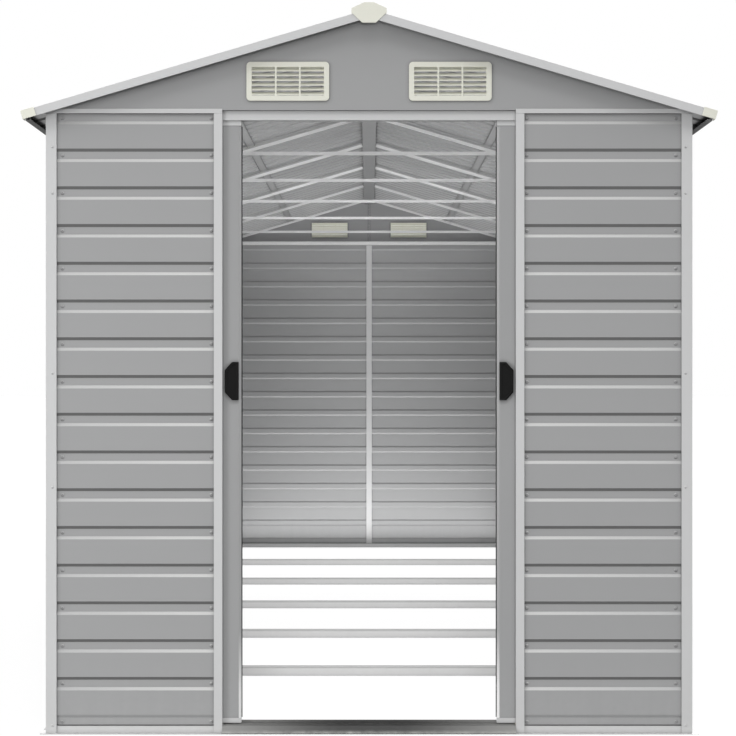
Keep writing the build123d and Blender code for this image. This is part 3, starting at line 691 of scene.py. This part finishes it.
def marks_on_wall_sheets(paint):
    """Painted shade at the foot of the sheets and a painted reflection of the floor on the bevels of the
    doors.
    """
    tree = paint.node_tree
    across, along, height = place_in_shed(tree)
    # painted shade along the foot of the sheets
    tint(paint, ramp(tree, height, FOOT_LINE), FOOT_SHADE)
    at_door_edge = math_node(tree, "LESS_THAN", across, BEVEL_END)
    at_front = math_node(tree, "LESS_THAN", along, DOOR_PLANE)
    # painted reflection of the pale floor on the door bevels near the ground
    tint(paint, product(tree, at_door_edge, at_front, ramp(tree, height, REFLECTION_HEIGHTS)), FLOOR_REFLECTION)


def shade_on_floor_bars(paint):
    """Painted shade on the upper edge of the floor bars."""
    tree = paint.node_tree
    _, _, height = place_in_shed(tree)
    on_bar = math_node(tree, "LESS_THAN", height, BAR_TOP)
    # painted shade on the upper edge of the floor bars
    tint(paint, product(tree, ramp(tree, height, BAR_SHADE_HEIGHTS), on_bar), BAR_EDGE_SHADE)


def shade_under_eaves(paint):
    """Painted shade on undersides outside the walls."""
    tree = paint.node_tree
    across, _, _ = place_in_shed(tree)
    below = math_node(tree, "LESS_THAN", looking_up(tree), 0.0)
    outside = math_node(tree, "GREATER_THAN", across, WALL_FACE)
    # painted shade on undersides outside the walls
    tint(paint, product(tree, below, outside), EAVE_SHADE)


marks_on_wall_sheets(finishes["wall_sheet"])
shade_on_floor_bars(finishes["frame"])
shade_under_eaves(finishes["roof_sheet"])
print("wall nodes:", len(finishes["wall_sheet"].node_tree.nodes))

# %% [markdown]
# ## Moulded plastics
# The vents and the caps at the ends of the ridge and the eaves are cream mouldings, and the pulls on the
# doors are black. A mould leaves a fine, even grain and a duller gloss than paint. The shoes under the
# doors are bare nylon, a little see-through at its edges, which a small subsurface share imitates.

# %% Plastics
PLASTIC_DEPTH = 0.002            # how far light goes into the nylon
PLASTIC_WAVE = 9.0
PLASTIC_FOOT = 0.12
PLASTIC_FOLD = 0.0008
PLASTIC_GLOSS_SHIFT = 0.18
PLASTIC_RELIEF, PLASTIC_BUMP = 0.35, 0.0004
CREAM, BLACK, NYLON = (0.80, 0.80, 0.71), (0.006, 0.006, 0.006), (0.56, 0.56, 0.53)


def moulded_plastic(name, colour, roughness, grain, dust, see_through=0.0, sheen=0.5):
    """A moulding with its grain; the sheen is one half for a common plastic."""
    plastic, tree, shader = new_finish(name)
    shader.inputs["Subsurface Weight"].default_value = see_through
    shader.inputs["Subsurface Scale"].default_value = PLASTIC_DEPTH
    shader.inputs["Specular IOR Level"].default_value = sheen
    skin = add_node(tree, "ShaderNodeGroup", node_tree=paint_skin, Grain=grain, Wave=PLASTIC_WAVE)
    weathering_node = add_node(tree, "ShaderNodeGroup", node_tree=weathering_and_highlight, Colour=(*colour, 1), Dust=dust,
                       Foot_Height=PLASTIC_FOOT)
    folds = add_node(tree, "ShaderNodeGroup", node_tree=fold_wear, Radius=PLASTIC_FOLD, Wear=0.0)
    connect(tree, shader.inputs["Base Color"], weathering_node.outputs["Colour"])
    uneven = math_node(tree, "MULTIPLY_ADD", skin.outputs["Gloss Shift"], PLASTIC_GLOSS_SHIFT, roughness)
    connect(tree, shader.inputs["Roughness"], uneven)
    add_relief(tree, shader, skin, folds, PLASTIC_RELIEF, PLASTIC_BUMP)
    return plastic


finishes["vent_plastic"] = moulded_plastic("cream_moulding", CREAM, roughness=0.48, grain=900.0, dust=0.06)
finishes["handle_plastic"] = moulded_plastic("black_moulding", BLACK, roughness=0.50, grain=700.0, dust=0.0,
                                             sheen=0.12)
finishes["shoe_plastic"] = moulded_plastic("bare_nylon", NYLON, roughness=0.50, grain=500.0, dust=0.20,
                                           see_through=0.1)
print("plastics:", [name for name in finishes if "plastic" in name])

# %% [markdown]
# ### Which piece has which finish
# The record names a slot for each piece of the frame, and each slot has a finish by now. The ridge beam
# and the rafters have a paint of their own.

# %% Finishes on the frame
slot_of = {row["node"]: row["material_slot"] for row in frame["record"]["subparts"]}
for name, node in nodes.items():
    for slot in node.material_slots:
        slot.material = special_paint.get(name, finishes[slot_of[name]])
print("finished nodes:", len(slot_of))

# %% [markdown]
# ## Rounded edges on the mouldings
# Injection-moulded pieces have no sharp edges: the mould is cut with a round tool. The solids of the
# vents, caps and pulls have plain edges, so a modifier rounds them for the picture and leaves the mesh
# below as it is. The imported faces don't share their corner points, so a weld comes first.

# %% Rounding
ROUNDED = {"vents": 0.0010, "end_cap": 0.0009, "handle": 0.0012, "shoes": 0.0008}
WELD_DISTANCE = 0.00002
ROUNDING_STEPS = 3
SHARP_ANGLE = math.radians(30)


def rounded_edges(piece, radius):
    """Welds, rounds and evenly shades a piece by modifiers."""
    piece.modifiers.new("joined_faces", "WELD").merge_threshold = WELD_DISTANCE
    rounding = piece.modifiers.new("rounded_edges", "BEVEL")
    rounding.width = radius
    rounding.segments = ROUNDING_STEPS
    rounding.limit_method = "ANGLE"
    rounding.angle_limit = SHARP_ANGLE
    rounding.use_clamp_overlap = True
    even = piece.modifiers.new("even_shading", "WEIGHTED_NORMAL")
    even.keep_sharp = False


rounded_names = []
for name, node in nodes.items():
    for word, radius in ROUNDED.items():
        if word in name:
            rounded_edges(node, radius)
            rounded_names.append(name)
print("rounded:", rounded_names)

# %% [markdown]
# ## Screws
# Thin sheet is fixed with many short self-tapping screws. Each has a low domed head with a flat rim,
# painted like the sheet, and a recess for the driver. A screw is a turned part, so its side view is
# drawn once and swept round in steps. Hundreds of copies would be slow as separate objects, so all the
# screws of one wall are one mesh.

# %% Screw shapes
SCREW_STEPS = 12
SCREW = [(0.0, 0.0012), (0.0011, 0.0012), (0.0017, 0.0024), (0.0030, 0.0021),
         (0.0038, 0.0013), (0.0042, 0.0008), (0.0052, 0.0007), (0.0055, 0.0)]


def turned(shape, profile, matrix):
    """Sweeps a side view, given as (radius, height), round its axis."""
    rings = []
    for radius, height in profile:
        steps = SCREW_STEPS if radius else 1
        turns = [2 * math.pi * i / steps for i in range(steps)]
        rings.append([shape.verts.new(matrix @ Vector((radius * math.cos(a), radius * math.sin(a), height)))
                      for a in turns])
    for inner, outer in zip(rings, rings[1:]):
        for i in range(SCREW_STEPS):
            j = (i + 1) % SCREW_STEPS
            if len(inner) == 1:
                shape.faces.new((inner[0], outer[i], outer[j]))
            else:
                shape.faces.new((inner[i], outer[i], outer[j], inner[j]))


def screws(name, places, finish, scale=1.0, body="shed"):
    """Screws at the places, each (point, outward direction), as one mesh."""
    shape = bmesh.new()
    for point, outward in places:
        turn = Vector(outward).to_track_quat("Z", "Y").to_matrix().to_4x4()
        turned(shape, SCREW, Matrix.Translation(point) @ turn @ Matrix.Scale(scale, 4))
    for face in shape.faces:
        face.smooth = True
    piece = mesh_piece(name + "_screws", shape, finish)
    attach(piece, body)
    print(piece.name, len(places), "faces:", len(piece.data.polygons))


# %% [markdown]
# ### Screws of the walls
# The sheets are screwed down in their grooves, a finger's width from the posts, so each groove has a
# screw at both ends. The grooves repeat with the pitch of the ribs from the ground up.

# %% Wall screws
HALF_WIDTH = 0.8875              # outer faces of the side walls
HALF_LENGTH = 2.700              # outer faces of the gable walls
GROOVE_FACE = 0.0083             # groove behind the outer face
RIB_PITCH = 0.1037
LOW_GROOVE, FIRST_GROOVE, HIGH_GROOVE = 0.0310, 0.1358, 1.6895
GROOVES = 15
EDGE = 0.0150                    # screw from the edge of a post
CORNER_FACE = 0.0294             # width of a corner post
JAMB_EDGE = 0.4263
STRIP = 0.0120                   # half of a cover strip

rows = [LOW_GROOVE, *(FIRST_GROOVE + i * RIB_PITCH for i in range(GROOVES)), HIGH_GROOVE]
beside_corner = HALF_WIDTH - CORNER_FACE - EDGE
front_columns = [side * x for side in (-1, 1) for x in (beside_corner, JAMB_EDGE + EDGE / 2)]
rear_columns = [side * x for side in (-1, 1) for x in (beside_corner, STRIP + EDGE)]
last_column = HALF_LENGTH - CORNER_FACE - EDGE
side_columns = [-last_column, last_column, *(y + side * (STRIP + EDGE) for y in FRAMES for side in (-1, 1))]

grey = finishes["wall_sheet"]
front_face = -(HALF_LENGTH - GROOVE_FACE)
screws("front_wall", [((x, front_face, z), (0, -1, 0)) for x in front_columns for z in rows], grey)
screws("rear_wall", [((x, -front_face, z), (0, 1, 0)) for x in rear_columns for z in rows], grey)
for name, side in (("left_wall", -1), ("right_wall", 1)):
    face = side * (HALF_WIDTH - GROOVE_FACE)
    screws(name, [((face, y, z), (side, 0, 0)) for y in side_columns for z in rows], grey)

# %% [markdown]
# ### Screws of the corner posts
# On the corner posts there are a few smaller screws, where posts, rails and base meet. They stand on
# both faces of each post, at the same heights.

# %% Corner screws
POST_SCREWS = (0.022, 0.676, 0.989, 1.483, 1.610)  # heights
POST_INSET = 0.0185              # from the corner
SMALL_SCREW = 0.72

light = finishes["trim"]
corner_places = []
for side in (-1, 1):
    for way in (-1, 1):
        for z in POST_SCREWS:
            corner_places.append(((side * (HALF_WIDTH - POST_INSET), way * HALF_LENGTH, z), (0, way, 0)))
            corner_places.append(((side * HALF_WIDTH, way * (HALF_LENGTH - POST_INSET), z), (side, 0, 0)))
screws("corner_posts", corner_places, light, scale=SMALL_SCREW)

# %% [markdown]
# ### Screws of the roof
# On a roof the screws sit on the ribs and not in the valleys, because water runs in the valleys. There
# is a row at the ridge capping, one over each purlin, one through the eave trim and one up each verge.
# Points on a slope are easy to place in its own directions: down the slope, along the ridge and out of
# the roof.

# %% Roof screws
RIB_TOP = 0.0084
TRIM_TOP = 0.0095
ROOF_PITCH = 0.101811            # from rib to rib
ROOF_RIBS = 54
CAPPING_ROW, PURLIN_ROW, EAVE_ROW = 0.044, 0.4629, 0.968  # down the slope
VERGE_LINE = 2.7320
VERGE_ROWS = (0.12, 0.29, 0.46, 0.63, 0.80, 0.92)


def on_slope(side, down, along, out):
    """A point of the left (-1) or right (1) slope, and the direction out of the roof there."""
    x = down * math.cos(PITCH) + out * math.sin(PITCH)
    z = APEX - down * math.sin(PITCH) + out * math.cos(PITCH)
    return (side * x, along, z), (side * math.sin(PITCH), 0, math.cos(PITCH))


ribs = [(i + 0.5 - ROOF_RIBS / 2) * ROOF_PITCH for i in range(ROOF_RIBS)]
for name, side in (("left_roof", -1), ("right_roof", 1)):
    sheet_places = [on_slope(side, PURLIN_ROW, y, RIB_TOP) for y in ribs[1:-1:2]]
    trim_places = [on_slope(side, row, y, TRIM_TOP) for row in (CAPPING_ROW, EAVE_ROW) for y in ribs[1:-1:3]]
    trim_places += [on_slope(side, row, way * VERGE_LINE, TRIM_TOP) for row in VERGE_ROWS for way in (-1, 1)]
    screws(name + "_sheets", sheet_places, finishes["roof_sheet"])
    screws(name + "_trims", trim_places, light)

# %% [markdown]
# ## Dark strips on the edges of the doors
# A dark strip runs up the leading edge of each door and stands for the shade along that edge. Its side
# view is half a flat oval. The oval's points come from a formula, and a straight copy of them at the
# upper end makes the strip. It rides on its door, so it slides along with it.

# %% Dark door edge strips
LEADING_EDGE = 0.352             # of the open doors, from the middle
DARK_STRIP_REACH = 0.0025              # in front of the edge; the closed doors are 6 mm apart
DARK_STRIP_HALF = 0.0040               # half of its thickness
DARK_STRIP_LINE = -2.6705              # middle of the edge, front to back
DARK_STRIP_FOOT, DARK_STRIP_TOP = 0.040, 1.669
DARK_STRIP_POINTS = 9


def strip_between(rings):
    """A closed strip between two rings of points, which are alike."""
    shape = bmesh.new()
    first, second = [[shape.verts.new(point) for point in ring] for ring in rings]
    for i in range(len(first)):
        j = (i + 1) % len(first)
        shape.faces.new((first[i], first[j], second[j], second[i]))
    for ring in (first, second):
        shape.faces.new(ring)
    bmesh.ops.recalc_face_normals(shape, faces=shape.faces)
    return shape


def dark_strip_ring(side, z):
    """Half an oval on the left (-1) or right (1) door, with its nose to the middle of the doorway."""
    turns = [math.pi * i / (DARK_STRIP_POINTS - 1) for i in range(DARK_STRIP_POINTS)]
    return [(side * (LEADING_EDGE - DARK_STRIP_REACH * math.sin(turn)), DARK_STRIP_LINE - DARK_STRIP_HALF * math.cos(turn), z)
            for turn in turns]


for door, side in (("left_door", -1), ("right_door", 1)):
    # a dark strip that stands for the shade along the door's edge
    dark_strip_shape = strip_between([dark_strip_ring(side, z) for z in (DARK_STRIP_FOOT, DARK_STRIP_TOP)])
    dark_strip = mesh_piece(door + "_edge_dark_strip", dark_strip_shape, finishes["handle_plastic"])
    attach(dark_strip, door)
    print(dark_strip.name, "faces:", len(dark_strip.data.polygons))

# %% [markdown]
# ## Lip of the rear gable's shelf
# The foot of the rear gable is folded inwards to a shelf, and the edge of the shelf has a small bright
# lip that stiffens it. A fold in thin sheet is never sharp. So the side view is a line with a round
# corner, given a thickness, and the ends of the lip are two copies of it.

# %% Shelf lip
SHELF_EDGE = 2.6525              # from the middle of the shed, just in front of the shelf
LIP_FOOT, LIP_TOP = 1.7042, 1.7220
LIP_REACH = 0.842                # half of its length
LIP_SHEET = 0.0008
LIP_RADIUS = 0.0030
LIP_STEPS = 6


def lip_outline():
    """Side view as (depth, height): up the front, and back down at the thickness of the sheet."""
    front, back = [], []
    for i in range(LIP_STEPS + 1):
        turn = math.pi / 2 * i / LIP_STEPS
        for line, radius in ((front, LIP_RADIUS), (back, LIP_RADIUS - LIP_SHEET)):
            line.append((SHELF_EDGE + LIP_RADIUS - radius * math.sin(turn),
                         LIP_FOOT + LIP_RADIUS - radius * math.cos(turn)))
    front.append((SHELF_EDGE, LIP_TOP))
    back.append((SHELF_EDGE + LIP_SHEET, LIP_TOP))
    return front + back[::-1]


lip_shape = strip_between([[(x, y, z) for y, z in lip_outline()] for x in (-LIP_REACH, LIP_REACH)])
lip = mesh_piece("rear_gable_lip", lip_shape, finishes["frame"])
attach(lip, "shed")
print(lip.name, "faces:", len(lip.data.polygons))
